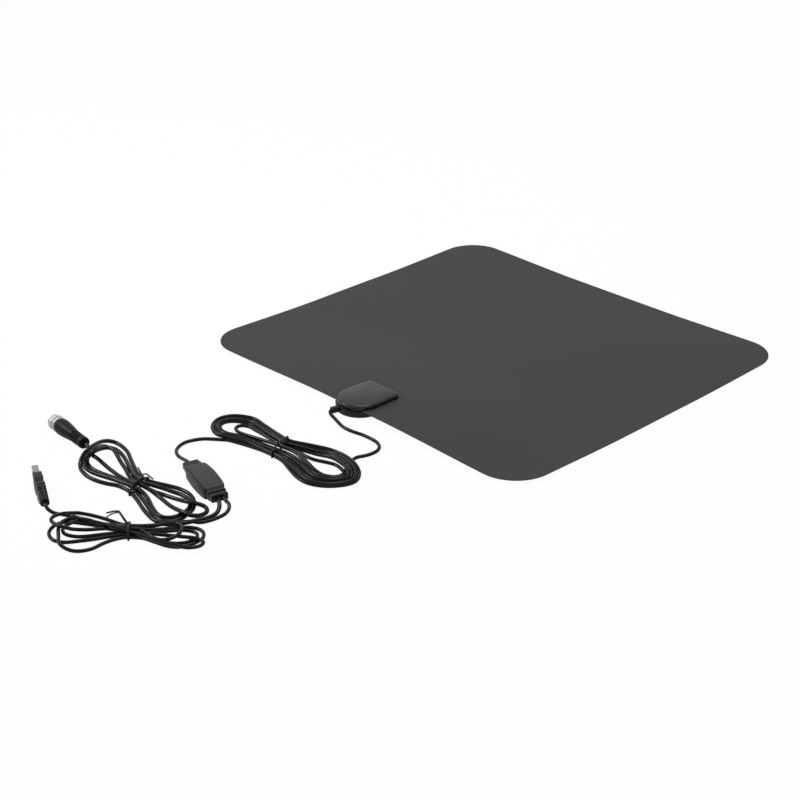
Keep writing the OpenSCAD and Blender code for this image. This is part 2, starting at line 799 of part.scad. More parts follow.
usb_end_path = [
    usb_exit, [-30.4, -415.1, 6.7], [-27.6, -415.8, 5.7], [-25.4, -415.4, 4.6],
    [-23.2, -414.4, 3.6], [-20.3, -412.5, 2.9], [-17, -409.5, 2.2], [-12, -406, 1.8]
];
module usb_lead_end() {
    color("#161616") tube([for (i = [len(usb_end_path) - 1:-1:0]) usb_end_path[i]], usb_d);
}

// Grip: a block with a groove across it, and behind it a ribbed relief
shell_wall = 0.35;
shell_sunk = 6;
groove_at = [6.4, 7.6];
relief_steps = 4;
relief_pitch = 2.1;
function relief_radius(back) = grip_h / 2 - 0.7 - 0.31 * back;
module usb_relief_form() {
    tail = 1 + relief_steps * relief_pitch;
    intersection() {
        rotate([0, -90, 0]) rotate_extrude() polygon(concat(
            [[0, -1], [grip_h / 2 - 0.8, -1], [grip_h / 2 - 0.5, 0.4], [grip_h / 2 - 0.8, 1]],
            [for (i = [0:relief_steps - 1]) let (back = 1 + i * relief_pitch)
                each [
                    [relief_radius(back) - 0.6, back],
                    [relief_radius(back) - 0.7, back + 0.8],
                    [relief_radius(back), back + 0.8],
                    [relief_radius(back + 1.3), back + relief_pitch]
                ]],
            [[3.1, tail], [3.1, tail + 0.5], [3.7, tail + 0.8], [3.7, usb_relief - 0.6], [3.2, usb_relief],
                [0, usb_relief]]
        ));
        translate([-usb_relief - 1, -grip_t / 2, -grip_h / 2]) cube([usb_relief + 4, grip_t, grip_h]);
    }
}

module usb_grip() {
    color("#2a2a2a") at_usb() difference() {
        union() {
            slot_block(0.4, groove_at[0], grip_t, grip_h, 0.8);
            slot_block(groove_at[0], groove_at[1], grip_t - 0.8, grip_h - 1, 0.8);
            slot_block(groove_at[1], grip_len, grip_t, grip_h, 0.8);
            usb_relief_form();
        }
        translate([grip_len - shell_sunk, -shell_t / 2, -shell_w / 2]) cube([shell_len, shell_t, shell_w]);
        rotate([0, -90, 0]) cylinder(h = usb_relief + 1, r = usb_d / 2);
    }
}

module usb_shell() {
    front = grip_len + shell_len;
    window = [2.4, 2];
    color("#c4c6c8") at_usb() difference() {
        translate([grip_len - shell_sunk, -shell_t / 2, -shell_w / 2])
            cube([shell_sunk + shell_len, shell_t, shell_w]);
        translate([grip_len - shell_sunk - 1, -shell_t / 2 + shell_wall, -shell_w / 2 + shell_wall])
            cube([shell_sunk + shell_len + 2, shell_t - 2 * shell_wall, shell_w - 2 * shell_wall]);
        for (s = [-1, 1]) translate([front - 7.4, -shell_t, s * 2.6 - window.y / 2])
            cube([window.x, 2 * shell_t, window.y]);
    }
}

tongue_t = 1.8;
tongue_w = shell_w - 2 * shell_wall;
module usb_tongue() {
    color("#e9e9e6") at_usb() {
        translate([grip_len - shell_sunk, -shell_t / 2 + shell_wall, -tongue_w / 2])
            cube([shell_sunk + shell_len - 1, tongue_t, tongue_w]);
        translate([grip_len - shell_sunk, -shell_t / 2 + shell_wall, -tongue_w / 2])
            cube([3, shell_t - 2 * shell_wall, tongue_w]);
    }
}

module usb_contacts() {
    color("#c9a24a") at_usb() for (i = [-1.5:1:1.5])
        translate([grip_len - shell_sunk + 3, -shell_t / 2 + shell_wall + tongue_t, i * 2.3 - 0.5])
            cube([shell_sunk + shell_len - 5.5, 0.25, 1]);
}

film_front();
film_back();
foil_left();
foil_right();
pod_cover();
pod_base();
pod_board();
pod_balun();
pod_rivets();
lead_gland();
lead_start();
lead_hank();
lead_tie();
lead_end();
amp_case_top();
amp_case_bottom();
amp_inlet_gland();
amp_outlet_gland();
amp_board();
amp_chip();
amp_inductor();
amp_capacitors();
tv_lead_start();
tv_hank();
tv_tie();
tv_lead_end();
connector_boot();
connector_body();
connector_insulator();
centre_contact();
coupling_nut();
usb_lead_start();
usb_hank();
usb_tie();
usb_lead_end();
usb_grip();
usb_shell();
usb_tongue();
usb_contacts();
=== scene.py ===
from math import copysign, cos, hypot, pi, radians, sin, sqrt
import bpy
from mathutils import Matrix, Vector


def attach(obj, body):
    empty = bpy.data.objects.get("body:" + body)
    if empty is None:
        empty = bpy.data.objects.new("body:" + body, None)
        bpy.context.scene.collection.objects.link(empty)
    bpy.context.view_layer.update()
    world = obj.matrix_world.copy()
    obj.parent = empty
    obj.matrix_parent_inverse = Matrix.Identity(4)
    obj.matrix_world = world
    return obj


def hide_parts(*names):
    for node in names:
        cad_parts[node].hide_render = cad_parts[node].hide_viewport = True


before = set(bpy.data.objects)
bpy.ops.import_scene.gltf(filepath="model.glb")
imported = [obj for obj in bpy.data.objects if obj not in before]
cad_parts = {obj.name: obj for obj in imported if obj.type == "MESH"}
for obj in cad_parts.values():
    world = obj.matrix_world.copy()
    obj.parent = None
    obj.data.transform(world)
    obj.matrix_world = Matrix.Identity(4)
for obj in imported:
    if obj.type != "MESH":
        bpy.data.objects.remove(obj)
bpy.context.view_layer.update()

# The photographer's camera stands off the film's front corner and looks
# down across the film to the pod, leads and plugs at the left.
eye = Vector((0.8923, -0.94325, 0.6074))
sight = Vector((-0.6499, 0.6124, -0.4502)).normalized()
to_right = Vector((0.6891, 0.7246, -0.0090)).normalized()
to_top = to_right.cross(sight)
camera_data = bpy.data.cameras.new("camera")
camera_data.sensor_width = 36
camera_data.lens = 76.82
camera_data.clip_start = 0.05
camera_data.clip_end = 50
camera = bpy.data.objects.new("camera", camera_data)
camera.matrix_world = Matrix((
    (to_right.x, to_top.x, -sight.x, eye.x),
    (to_right.y, to_top.y, -sight.y, eye.y),
    (to_right.z, to_top.z, -sight.z, eye.z),
    (0, 0, 0, 1)))
bpy.context.scene.collection.objects.link(camera)
bpy.context.scene.camera = camera

# The three leads are round cords with a glossy black PVC jacket. Each one is
# a single length, wound into a flat hank that a tie holds at its waist. The
# open stretches follow the route of the part's source, eased a little where
# the first lead leaves its gland, and the turns of a hank lie in one bundle.
MM = 0.001


def in_hank(place, turn, floor_z, steps):
    """Points of a hank from its own frame: along it, across it, and height. Their places are
    seen as on the floor, so a raised strand moves along the line of sight to the camera."""
    c, n = cos(radians(turn)), sin(radians(turn))
    made = []
    for t, w, z in steps:
        x, y = place[0] + t * c - w * n, place[1] + t * n + w * c
        rise = (z - floor_z) / (eye.z / MM - floor_z)
        made.append((x + (eye.x / MM - x) * rise, y + (eye.y / MM - y) * rise, z))
    return made


def flat(z, *places):
    """Strand places that all lie at one height."""
    return [(t, w, z) for t, w in places]


def smooth_line(points, radius=0.0, fine=6):
    """A smooth line through the points, in metres, never lower than a radius over the floor."""
    ps = [Vector(p) * MM for p in points]
    line = []
    for i in range(len(ps) - 1):
        a, b, c, d = ps[max(i - 1, 0)], ps[i], ps[i + 1], ps[min(i + 2, len(ps) - 1)]
        for k in range(fine):
            t = k / fine
            line.append(0.5 * (2 * b + (c - a) * t + (2 * a - 5 * b + 4 * c - d) * t * t
                               + (3 * b - a - 3 * c + d) * t * t * t))
    line.append(ps[-1])
    for p in line:
        p.z = max(p.z, radius * MM)
    return line


def line_length(line):
    return sum((b - a).length for a, b in zip(line, line[1:]))


def lay_cord(name, line, diameter, closed=False):
    """A round cord along a line."""
    data = bpy.data.curves.new(name, "CURVE")
    data.dimensions = "3D"
    data.bevel_depth = diameter * MM / 2
    data.bevel_resolution = 7
    data.use_fill_caps = not closed
    spline = data.splines.new("POLY")
    spline.points.add(len(line) - 1)
    for point, at in zip(spline.points, line):
        point.co = (at.x, at.y, at.z, 1)
    spline.use_smooth = True
    spline.use_cyclic_u = closed
    made = bpy.data.objects.new(name, data)
    bpy.context.scene.collection.objects.link(made)
    return made


class Shade:
    """A value inside a material: sums and products of it become Math nodes."""

    def __init__(self, tree, socket=None):
        self.tree = tree
        self.socket = socket

    def node(self, kind, settings, inputs, out=0):
        """Adds a node: its settings first, then the values or links of its sockets."""
        made = self.tree.nodes.new("ShaderNode" + kind)
        for key, value in settings.items():
            setattr(made, key, value)
        for key, value in inputs.items():
            if isinstance(value, Shade):
                self.tree.links.new(value.socket, made.inputs[key])
            else:
                made.inputs[key].default_value = value
        return Shade(self.tree, made.outputs[out])

    def __add__(self, other):
        return self.node("Math", {"operation": "ADD"}, {0: self, 1: other})

    def __mul__(self, other):
        return self.node("Math", {"operation": "MULTIPLY"}, {0: self, 1: other})

    __radd__ = __add__
    __rmul__ = __mul__


def new_finish(name):
    """A new material, and the place on the object that its patterns read."""
    material = bpy.data.materials.new(name)
    material.use_nodes = True
    return material, Shade(material.node_tree).node("TexCoord", {}, {}, "Object")


def noise(at, scale, detail):
    return at.node("TexNoise", {}, {"Vector": at, "Scale": scale, "Detail": detail})


def mixed(amount, dark, light):
    """Two colours mixed by an amount from 0 to 1."""
    return amount.node("Mix", {"data_type": "RGBA"}, {0: amount, 6: (*dark, 1), 7: (*light, 1)}, 2)


def set_surface(material, sockets):
    shader = material.node_tree.nodes["Principled BSDF"]
    for key, value in sockets.items():
        if isinstance(value, Shade):
            material.node_tree.links.new(value.socket, shader.inputs[key])
        else:
            shader.inputs[key].default_value = value


def moulded(name, dark, light, rough, level, grain, depth):
    """A moulded finish: cloudy colour, uneven gloss and a fine skin of a given grain per metre."""
    material, at = new_finish(name)
    cloud = noise(at, grain * 0.12, 3.0)
    skin = noise(at, grain, 2.0)
    set_surface(material, {
        "Base Color": mixed(cloud, dark, light),
        "Roughness": rough - 0.06 + 0.12 * cloud,
        "Specular IOR Level": level,
        "Normal": at.node("Bump", {}, {"Strength": 1.0, "Distance": depth, "Height": skin})})
    return material


jacket = moulded(
    "black_pvc_jacket", (0.002, 0.002, 0.002), (0.004, 0.004, 0.004), 0.23, 0.14, 300, 0.000003)

lead_d = 2.8
tv_d = 3.2
usb_d = 2.7
lead_start = [
    (-4.81, -171.16, 3), (-4.6, -172.6, 2.6), (-2.7, -174.2, 2.1), (0.8, -175.5, 1.6),
    (5.6, -176.9, 1.4),
    (12.8, -179.4, 1.4), (18.8, -181.2, 1.4), (25, -181.8, 1.4), (32, -181.2, 1.4), (40, -179.7, 1.4),
    (48, -179.3, 1.4), (55, -179.8, 1.4), (60, -181.5, 1.4), (64, -184.5, 1.4), (66.5, -189, 1.4),
    (67, -194.5, 1.4), (66, -200, 1.4), (63.5, -207.5, 1.4)]
# The bundle's outer and inner outline, station by station in the order the
# lead runs: right end, lower run, left end, upper run. Each turn lies between
# them, and every second turn rides higher than its neighbours. The bundle
# rises where it passes over the lead that comes in, and starts with a loop
# that lies across its top.
lead_bundle = [
    ((76, 1), (60.5, 4)), ((73, -9), (61, 0)), ((64, -19), (58, -5)), ((52, -24.5), (51, -8)),
    ((40, -24), (40, -7)), ((26, -19), (25, -2.5)), ((12, -13.5), (8, -1)), ((-5, -12.5), (-8, -3)),
    ((-28, -13), (-26, -5)), ((-42, -17), (-40, -7)), ((-55, -20.5), (-49, -10)),
    ((-66, -15.5), (-56, -10)),
    ((-73, -7), (-61, -7)), ((-75, 3), (-62, -2)), ((-71, 12), (-59, 2)), ((-62, 18), (-53, 5.5)),
    ((-52, 20.5), (-46, 7)), ((-38, 18), (-34, 5)), ((-20, 15), (-18, 3)), ((-5, 14), (-5, 2)),
    ((12, 20.5), (12, 4)), ((28, 25.5), (24, 6)), ((44, 25), (33, 11)), ((58, 20.5), (45, 11)),
    ((70, 12), (55, 8))]
over_lead_in = {22: 1.2, 23: 2.8, 24: 1.6}
wound_turns = 5
turn_steps = len(lead_bundle)
steps_short = 17
bend_step = 20
rest_height = 1.4
rise_of_turn = 1.9
lead_turns = flat(1.4, (52, 19), (56, 11), (60.5, 3), (59, -3.5), (52, -7.5))
lead_turns += [(41, -6.5, 3), (23, -0.5, 5.4), (8, 2.5, 6), (-4, 1.5, 6), (-14, 0.5, 5.6),
    (-27, -2, 4.4)]
lead_turns += [(-38, -4.2, 3), (-45, -4.8, 2), (-50.5, -2.5, 1.6), (-52, 1, 1.6), (-50.5, 4.6, 1.6)]
lead_turns += flat(1.6, (-45, 6.6), (-37, 6), (-25, 5), (-12, 4), (0, 3.5), (12, 4), (24, 3.5),
    (31, 4.5))
lead_turns += flat(1.8, (38, 7), (46, 9), (54, 7.5))
for i in range(wound_turns * turn_steps - steps_short):
    step, odd_turn = i % turn_steps, (i // turn_steps) % 2
    (t0, w0), (t1, w1) = lead_bundle[step]
    depth = 0.91 - 0.82 * i / (wound_turns * turn_steps - turn_steps)
    ridden = odd_turn + (1 - 2 * odd_turn) * max(0, (step - bend_step) / 5)
    lead_turns.append((t0 + (t1 - t0) * depth, w0 + (w1 - w0) * depth,
                       rest_height + rise_of_turn * ridden + over_lead_in.get(step, 0)))
lead_turns += flat(1.4, (-17, -13.5), (-30, -16), (-42, -19))
lead_exit = [
    (-24, -257, 1.4), (-33.5, -264.5, 1.4), (-39.5, -270, 1.4), (-43, -276.5, 1.4),
    (-44.5, -283, 1.4), (-43, -289.5, 1.4), (-38.5, -296, 1.4), (-31, -300, 1.8),
    (-25, -301.4, 2.6), (-19, -302.6, 3.8), (-13, -304, 5), (-8.22, -305.39, 5.6)]
lead_line = smooth_line(
    lead_start + in_hank((15.1, -236.9), 2.9, 1.4, lead_turns) + lead_exit, lead_d / 2)
lead = lay_cord("lead", lead_line, lead_d)

tv_start = [
    (44.81, -321.85, 5.6), (48.6, -323.8, 5), (52.2, -326.4, 3.6), (55, -330.5, 2.1), (56, -335.3, 1.6),
    (55.5, -341, 1.6), (53, -347.7, 1.6)]
tv_turns = flat(1.6, (70.5, 0), (68, -7), (63, -12.5), (55, -15.3), (46, -15.3), (36, -14),
    (24, -11.5), (13, -10))
tv_turns += flat(1.6, (4, -10), (-5, -12.5), (-12, -17), (-21, -21), (-31, -23), (-42, -22)) + [
    (-52, -17.5, 3.6), (-61, -10.5, 7), (-67, -3, 9.2), (-71, 5, 7.6), (-71.5, 12, 4.6),
    (-67, 17, 2.4)]
tv_turns += flat(1.6, (-58, 19), (-45, 18), (-29, 13), (-11, 8), (0, 8), (9, 11.5), (19, 17),
    (28, 21), (38, 22.3), (48, 20), (57, 14), (62, 5.5), (64, -3), (61.5, -10.5), (53, -12.4),
    (42, -11.2), (26, -8), (12, -6))
tv_turns += flat(1.6, (2, -5.5), (-7, -5.8), (-17, -9), (-27, -12.5), (-38, -15), (-47, -14)) + [
    (-55, -10, 5), (-60.5, -3, 8.6), (-62, 4, 7), (-60, 10, 4.2), (-53, 13.2, 2.4), (-39, 12, 1.6),
    (-12, 5, 3.2)]
tv_turns += [(3, 5.5, 4.6), (9, 7.5, 3.6), (17, 11, 1.8)] + flat(1.6, (27, 14.6), (36, 17.6),
    (45, 17.6), (53, 13.6), (57.5, 7), (59, -1), (56, -7.5), (49, -9.6), (38, -7.8))
tv_turns += [(26, -4.4, 1.8), (14, -2.6, 3.8), (4, -3.8, 4.6), (-4, -6.4, 4.4), (-13, -9.6, 3.8),
    (-22, -13.4, 2.4)]
tv_turns += [(-33, -17.4, 1.8), (-43, -18, 1.8), (-52, -14, 4.4), (-59.5, -7, 8), (-64.5, 1, 9),
    (-64.5, 8, 5), (-56, 11.5, 4.6), (-46, 9.6, 3.4), (-36, 7, 1.8), (-22, 4, 1.6), (-11, 1.2, 1.6)]
tv_turns += flat(1.6, (3, 1.6), (18, 4), (29, 8)) + [(39, 12, 2.8), (47, 16.2, 4.8), (53, 20, 4.8),
    (60, 22, 3), (66.5, 19.5, 1.8), (68, 13.5, 2), (64.5, 8.5, 4.6), (57, 6, 4.8), (45, 3.4, 3),
    (30, 3.4, 1.8), (15, 3.2, 3.4), (4, 1.4, 4.6), (-3, -1.6, 4.4)]
tv_turns += [(-11, -3.8, 2.8)] + flat(1.6, (-21, -4.8), (-32, -5), (-44, -4.6), (-52, -4.6)) + [
    (-58, -4.7, 3)]
tv_exit = [(-84, -343.6, 6), (-87.5, -343.3, 6.4), (-88.5, -343.2, 6.4)]
tv_line = smooth_line(tv_start + in_hank((-19.6, -346.5), -6.7, 1.6, tv_turns) + tv_exit, tv_d / 2)
tv_lead = lay_cord("tv_lead", tv_line, tv_d)

usb_start = [
    (45.78, -318.39, 5.6), (50.6, -319.4, 5.2), (55.4, -320.3, 4.2), (58.8, -323.6, 2.6),
    (60, -328.5, 1.35), (60.3, -334, 1.35), (59.6, -340, 1.35), (57, -346.8, 1.35)]
usb_turns = flat(1.35, (46, 22), (40, 21), (33, 18.5), (25, 15.5), (16, 13), (6, 12), (-2, 13),
    (-9, 16), (-20, 20.5), (-31, 23.5), (-39, 24))
usb_turns += [(-47, 22, 3.4), (-51.5, 18, 5.6), (-52, 13, 5.8), (-48.5, 8.5, 5.8), (-43.5, 6, 6.8),
    (-38, 4, 5.6), (-33, 2.6, 4.2), (-24, 3, 4), (-15, 5, 2.8), (-6, 7.5, 1.6), (4, 8.7, 1.4)]
usb_turns += [(12, 7.6, 2.6), (21, 1, 4.6), (28, -3.6, 4.8), (34, -3.4, 5), (39, 1, 5.4),
    (41.5, 8, 6), (40.5, 15, 5.4), (35.5, 18.6, 4.6), (29, 17, 4.2), (22, 14, 4.1), (14, 12, 4.1),
    (5, 11, 4.1)]
usb_turns += [(-7, 11.4, 2), (-17, 12.4, 1.4), (-26, 16, 1.4), (-35, 17, 1.6), (-41, 15, 3),
    (-44, 9, 4.1), (-43, 1, 4.1), (-40, -8, 4.1), (-37, -16, 4), (-31, -22, 2.2)]
usb_turns += flat(1.4, (-24.5, -24.8), (-18, -24), (-12, -20), (-6, -12), (1, -6), (8, -3.4),
    (18, -3.4), (27, -7.2), (36, -11), (44, -12), (50, -9.5), (55, -5), (58.5, 1), (57.5, 8),
    (53, 12.6), (46, 14), (38, 12.4))
usb_turns += [(27, 9.4, 1.6), (16, 8, 3), (5, 8, 4.1), (-5, 8.4, 3.4), (-16, 9, 1.6)]
usb_turns += flat(1.4, (-28, 10.6), (-38, 11.6), (-45, 9), (-48, 3), (-48, -4), (-45, -10),
    (-40, -14), (-33, -14.8), (-24, -12), (-15, -8.6), (-5, -4), (5, -0.2), (12, -0.6), (20, -1.6),
    (28, -4.6), (35, -7), (43, -7.4), (50, -4.6), (54, 0.5), (53.5, 6), (49, 9.2), (41, 9.8),
    (30, 7), (18, 5.4), (6, 5.5))
usb_turns += flat(1.4, (-5, 5.4), (-15, 7), (-24, 12), (-31, 13.4), (-36.5, 11), (-39.5, 5.5),
    (-39.5, 0), (-36, -4.6), (-29, -6.6), (-22, -5.8), (-14, -3), (-5, 0), (5, 2.8))
usb_turns += [(13, 3.2, 1.8), (21, 3, 3), (33, 2.2, 3.8), (45, 1.6, 4.1), (54, 0.6, 4.1),
    (60, -3.4, 4), (58.6, -9, 3.8), (51, -11.8, 4), (42, -9.6, 4.1), (30, -6, 4.1), (18, -1, 4.1),
    (6, 4, 4.1)]
usb_turns += [(-3, 7.6, 5), (-12, 11, 4.8), (-23, 14.6, 4.4), (-32, 17.4, 4.2)]
usb_exit = [
    (-12, -406, 1.8), (-17, -409.5, 2.2), (-20.3, -412.5, 2.9),
    (-23.2, -414.4, 3.6), (-25.4, -415.4, 4.6), (-27.6, -415.8, 5.7), (-30.4, -415.1, 6.7),
    (-33.12, -413.89, 7)]
usb_line = smooth_line(usb_start + in_hank((29.9, -396.4), 39, 1.35, usb_turns) + usb_exit, usb_d / 2)
usb_lead = lay_cord("usb_lead", usb_line, usb_d)

for cord, nodes in (
        (lead, ("lead_start", "lead_hank", "lead_end")),
        (tv_lead, ("tv_lead_start", "tv_hank", "tv_lead_end")),
        (usb_lead, ("usb_lead_start", "usb_hank", "usb_lead_end"))):
    cord.data.materials.append(jacket)
    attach(cord, "antenna")
    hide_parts(*nodes)

# The film is two printed plastic sheets laminated over the foil elements. It
# is cut with round corners, has a fine satin skin, and was rolled in its box,
# so its corners curl a little and it slopes down from the pod's level pad.
film_half_x = 180 * MM
film_half_y = 162.5 * MM
film_y = 3.25 * MM
film_edge = film_y - film_half_y
film_corner = 32 * MM
layer_t = 0.3 * MM
pod_x = 2.5 * MM


def take(piece):
    """Makes one piece the only one that the next tools work on."""
    bpy.ops.object.select_all(action="DESELECT")
    piece.select_set(True)
    bpy.context.view_layer.objects.active = piece


def apply_modifier(piece, kind, **settings):
    take(piece)
    made = piece.modifiers.new(kind.lower(), kind)
    for key, value in settings.items():
        setattr(made, key, value)
    bpy.ops.object.modifier_apply(modifier=made.name)


def carve(piece, tool, how="DIFFERENCE"):
    """Cuts a piece with another form, which is then thrown away."""
    apply_modifier(piece, "BOOLEAN", operation=how, object=tool, solver="EXACT")
    bpy.data.objects.remove(tool)


def fit_out(piece, finish, body, slot, *nodes):
    """Gives a piece its finish and its place in the frame."""
    piece.data.materials.clear()
    piece.data.materials.append(finish)
    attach(piece, body)
    if nodes:
        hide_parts(*nodes)


def round_corner(x, y, half_x, half_y, r):
    """Draws a point of a rectangle in, so that the rectangle's corners come out round."""
    dx, dy = abs(x) - half_x + r, abs(y) - half_y + r
    if dx <= 0 or dy <= 0:
        return x, y
    k = max(dx, dy) / hypot(dx, dy)
    return copysign(half_x - r + dx * k, x), copysign(half_y - r + dy * k, y)


def stations(half, edge, edge_cells, cells):
    """Places from -half to half with finer cells in a strip of width edge at both ends."""
    inner = half - edge
    low = [-half + edge * i / edge_cells for i in range(edge_cells)]
    middle = [-inner + 2 * inner * i / cells for i in range(cells + 1)]
    return low + middle + [-p for p in reversed(low)]


def add_sheet(name, columns, rows):
    """A flat grid whose lines lie at the given places."""
    bpy.ops.object.select_all(action="DESELECT")
    bpy.ops.mesh.primitive_grid_add(
        x_subdivisions=len(columns) - 1, y_subdivisions=len(rows) - 1, size=2)
    piece = bpy.context.object
    piece.name = piece.data.name = name
    for v in piece.data.vertices:
        v.co.x = columns[round((v.co.x + 1) / 2 * (len(columns) - 1))]
        v.co.y = rows[round((v.co.y + 1) / 2 * (len(rows) - 1))]
    return piece


def fade(t):
    u = max(0.0, min(1.0, t))
    return 1 - u * u * (3 - 2 * u)


def film_height(x, y):
    """Height of the film's underside."""
    x, y = x / MM, y / MM
    pad = fade((abs(x - 2.5) - 32) / 140) * fade((y + 118.25) / 100)
    curl = (1 - fade((abs(x) - 45) / 135)) * (1 - fade((abs(y - 3.25) - 40) / 122.5))
    away = 1 - fade((hypot(x - 2.5, y + 145) - 45) / 60)
    wave = 0.10 * away * (1 + sin(x / 31 + 0.7 * sin(y / 47))) * (1 + sin(y / 37 + 1.1))
    return (5.2 * pad + 2.2 * curl + wave) * MM


film_front = add_sheet("film_front_sheet", stations(film_half_x, film_corner, 10, 74),
                       stations(film_half_y, film_corner, 10, 66))
for v in film_front.data.vertices:
    v.co.x, v.co.y = round_corner(v.co.x, v.co.y, film_half_x, film_half_y, film_corner)
    v.co.y += film_y
    v.co.z = film_height(v.co.x, v.co.y) + 2 * layer_t
film_back = film_front.copy()
film_back.data = film_front.data.copy()
film_back.name = film_back.data.name = "film_back_sheet"
bpy.context.scene.collection.objects.link(film_back)
for v in film_back.data.vertices:
    v.co.z -= layer_t
for sheet in (film_front, film_back):
    apply_modifier(sheet, "SOLIDIFY", thickness=layer_t, offset=-1, use_even_offset=True)
    for x, y, r in ((12.8, 22, 1.1), (-12.8, 22, 1.1), (10, 33, 1.5), (-10, 33, 1.5)):
        bpy.ops.object.select_all(action="DESELECT")
        bpy.ops.mesh.primitive_cylinder_add(
            vertices=32, radius=r * MM, depth=20 * MM,
            location=(pod_x + x * MM, film_edge + y * MM, 5 * MM))
        carve(sheet, bpy.context.object)
    take(sheet)
    bpy.ops.object.shade_smooth_by_angle(angle=radians(35))

film_skin, at = new_finish("film_satin_skin")
band = noise(at, 9.0, 2.0)
cloud = noise(at, 45.0, 4.0)
tooth = noise(at, 1400.0, 2.0)
dent = at.node("VectorMath", {"operation": "DISTANCE"}, {0: at, 1: (0.1568, 0.0256, 0.002)}, "Value")
dent = dent.node("MapRange", {"interpolation_type": "SMOOTHSTEP"},
                 {0: dent, 1: 0.0, 2: 0.007, 3: 0.0, 4: 1.0})
set_surface(film_skin, {
    "Base Color": mixed(0.6 * band + 0.4 * cloud, (0.030, 0.030, 0.031), (0.042, 0.042, 0.043)),
    "Roughness": 0.52 + 0.08 * band + 0.04 * cloud,
    "Specular IOR Level": 0.12,
    "Normal": at.node("Bump", {}, {
        "Strength": 1.0, "Distance": 0.0003, "Height": dent + 0.05 * tooth + 0.12 * cloud})})
fit_out(film_front, film_skin, "antenna", "film", "film_front")
fit_out(film_back, film_skin, "antenna", "film", "film_back")

# The pod's cover is moulded in glossy black ABS: a low dome on a plan that is
# round in front and square behind, with a soft edge all round. Its two pegs
# press through the film into the base.
pod_r = 18.5 * MM
pod_cy = -147.25 * MM
pod_back = 25 * MM
pod_corner = 3 * MM
pod_top = 10.6 * MM
pod_lean = 0.17
pod_crown = 1.2 * MM
pod_drop = 0.6 * MM
pod_edge = 1.7 * MM
edge_steps = [pod_edge * (1 - cos(radians(15 * i))) for i in range(7)]
half_row = edge_steps + [pod_edge + (pod_r - pod_edge) * i / 8 for i in range(1, 9)]
pod_columns = [s - pod_r for s in half_row] + [pod_r - s for s in reversed(half_row[:-1])]
back_row = edge_steps + [pod_edge + (pod_back - pod_edge) * i / 9 for i in range(1, 9)]
pod_rows = [s - pod_r for s in half_row] + [pod_back - s for s in reversed(back_row)]


def stretch_down(piece, depth):
    """Draws the open edge of a sheet straight down as a wall."""
    take(piece)
    bpy.ops.object.mode_set(mode="EDIT")
    bpy.ops.mesh.select_mode(type="EDGE")
    bpy.ops.mesh.select_all(action="DESELECT")
    bpy.ops.mesh.select_non_manifold()
    bpy.ops.mesh.extrude_region_move(TRANSFORM_OT_translate={"value": (0, 0, -depth)})
    bpy.ops.object.mode_set(mode="OBJECT")


pod_cover = add_sheet("pod_cover_shell", pod_columns, pod_rows)
for v in pod_cover.data.vertices:
    x, y = v.co.x, v.co.y
    inset = min(pod_r - abs(x), pod_r + y if y < 0 else pod_back - y)
    soft = max(pod_edge - inset, 0)
    if y < 0:
        x, y = round_corner(x, y, pod_r, pod_r, pod_r)
    else:
        x, y = round_corner(x, y, pod_r, pod_back, pod_corner)
    if x < 0 < y:
        x *= 1 - pod_lean * (y / pod_back) ** 2
    side = pod_crown * (hypot(x, min(y, 0)) / pod_r) ** 2
    fall = pod_drop * (max(y, 0) / pod_back) ** 2
    dome = (side ** 3 + fall ** 3) ** (1 / 3)
    v.co = (x, y, pod_top - dome - pod_edge + sqrt(max(pod_edge ** 2 - soft ** 2, 0)))
stretch_down(pod_cover, 20 * MM)
for v in pod_cover.data.vertices:
    if v.co.z < 0:
        v.co.z = 5.5 * MM if v.co.y + pod_cy < film_edge - 1.5 * MM else 5.8 * MM
    v.co += Vector((pod_x, pod_cy, 0))
apply_modifier(pod_cover, "SOLIDIFY", thickness=1.4 * MM, offset=-1, use_even_offset=True)
for side in (-1, 1):
    bpy.ops.object.select_all(action="DESELECT")
    bpy.ops.mesh.primitive_cylinder_add(vertices=32, radius=1.5 * MM, depth=6 * MM, location=(
        pod_x + side * 10 * MM, film_edge + 33 * MM, 5.8 * MM))
    carve(pod_cover, bpy.context.object, "UNION")
take(pod_cover)
bpy.ops.object.shade_smooth_by_angle(angle=radians(40))
pod_gloss = moulded(
    "pod_black_abs", (0.007, 0.007, 0.007), (0.011, 0.011, 0.011), 0.26, 0.28, 1200, 0.000003)
fit_out(pod_cover, pod_gloss, "antenna", "pod", "pod_cover")

# The base is the pod's other half, a tray in the same black ABS that carries
# the board. The lead leaves it through a ribbed gland of soft PVC.
soft_pvc = moulded(
    "soft_black_pvc", (0.006, 0.006, 0.006), (0.011, 0.011, 0.011), 0.4, 0.18, 1300, 0.000008)
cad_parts["pod_base"].material_slots[0].material = moulded(
    "pod_base_abs", (0.006, 0.006, 0.006), (0.010, 0.010, 0.010), 0.3, 0.18, 1200, 0.000004)
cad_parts["lead_gland"].material_slots[0].material = soft_pvc

# Inside the pod, out of sight: a small glass-fibre board with a ferrite balun,
# and two brass rivets that join it to the foil elements in the film.
circuit_board = moulded(
    "green_circuit_board", (0.015, 0.09, 0.03), (0.03, 0.15, 0.05), 0.42, 0.5, 700, 0.00003)
ferrite = moulded(
    "sintered_ferrite", (0.030, 0.030, 0.033), (0.055, 0.055, 0.058), 0.55, 0.4, 1800, 0.00004)


def metal(name, dark, light, rough, grain, depth):
    """A metal finish with a fine uneven sheen."""
    material, at = new_finish(name)
    cloud = noise(at, grain * 0.2, 3.0)
    skin = noise(at, grain, 3.0)
    set_surface(material, {
        "Base Color": mixed(cloud, dark, light),
        "Metallic": 1.0,
        "Roughness": rough - 0.05 + 0.1 * cloud,
        "Normal": at.node("Bump", {}, {"Strength": 1.0, "Distance": depth, "Height": skin})})
    return material


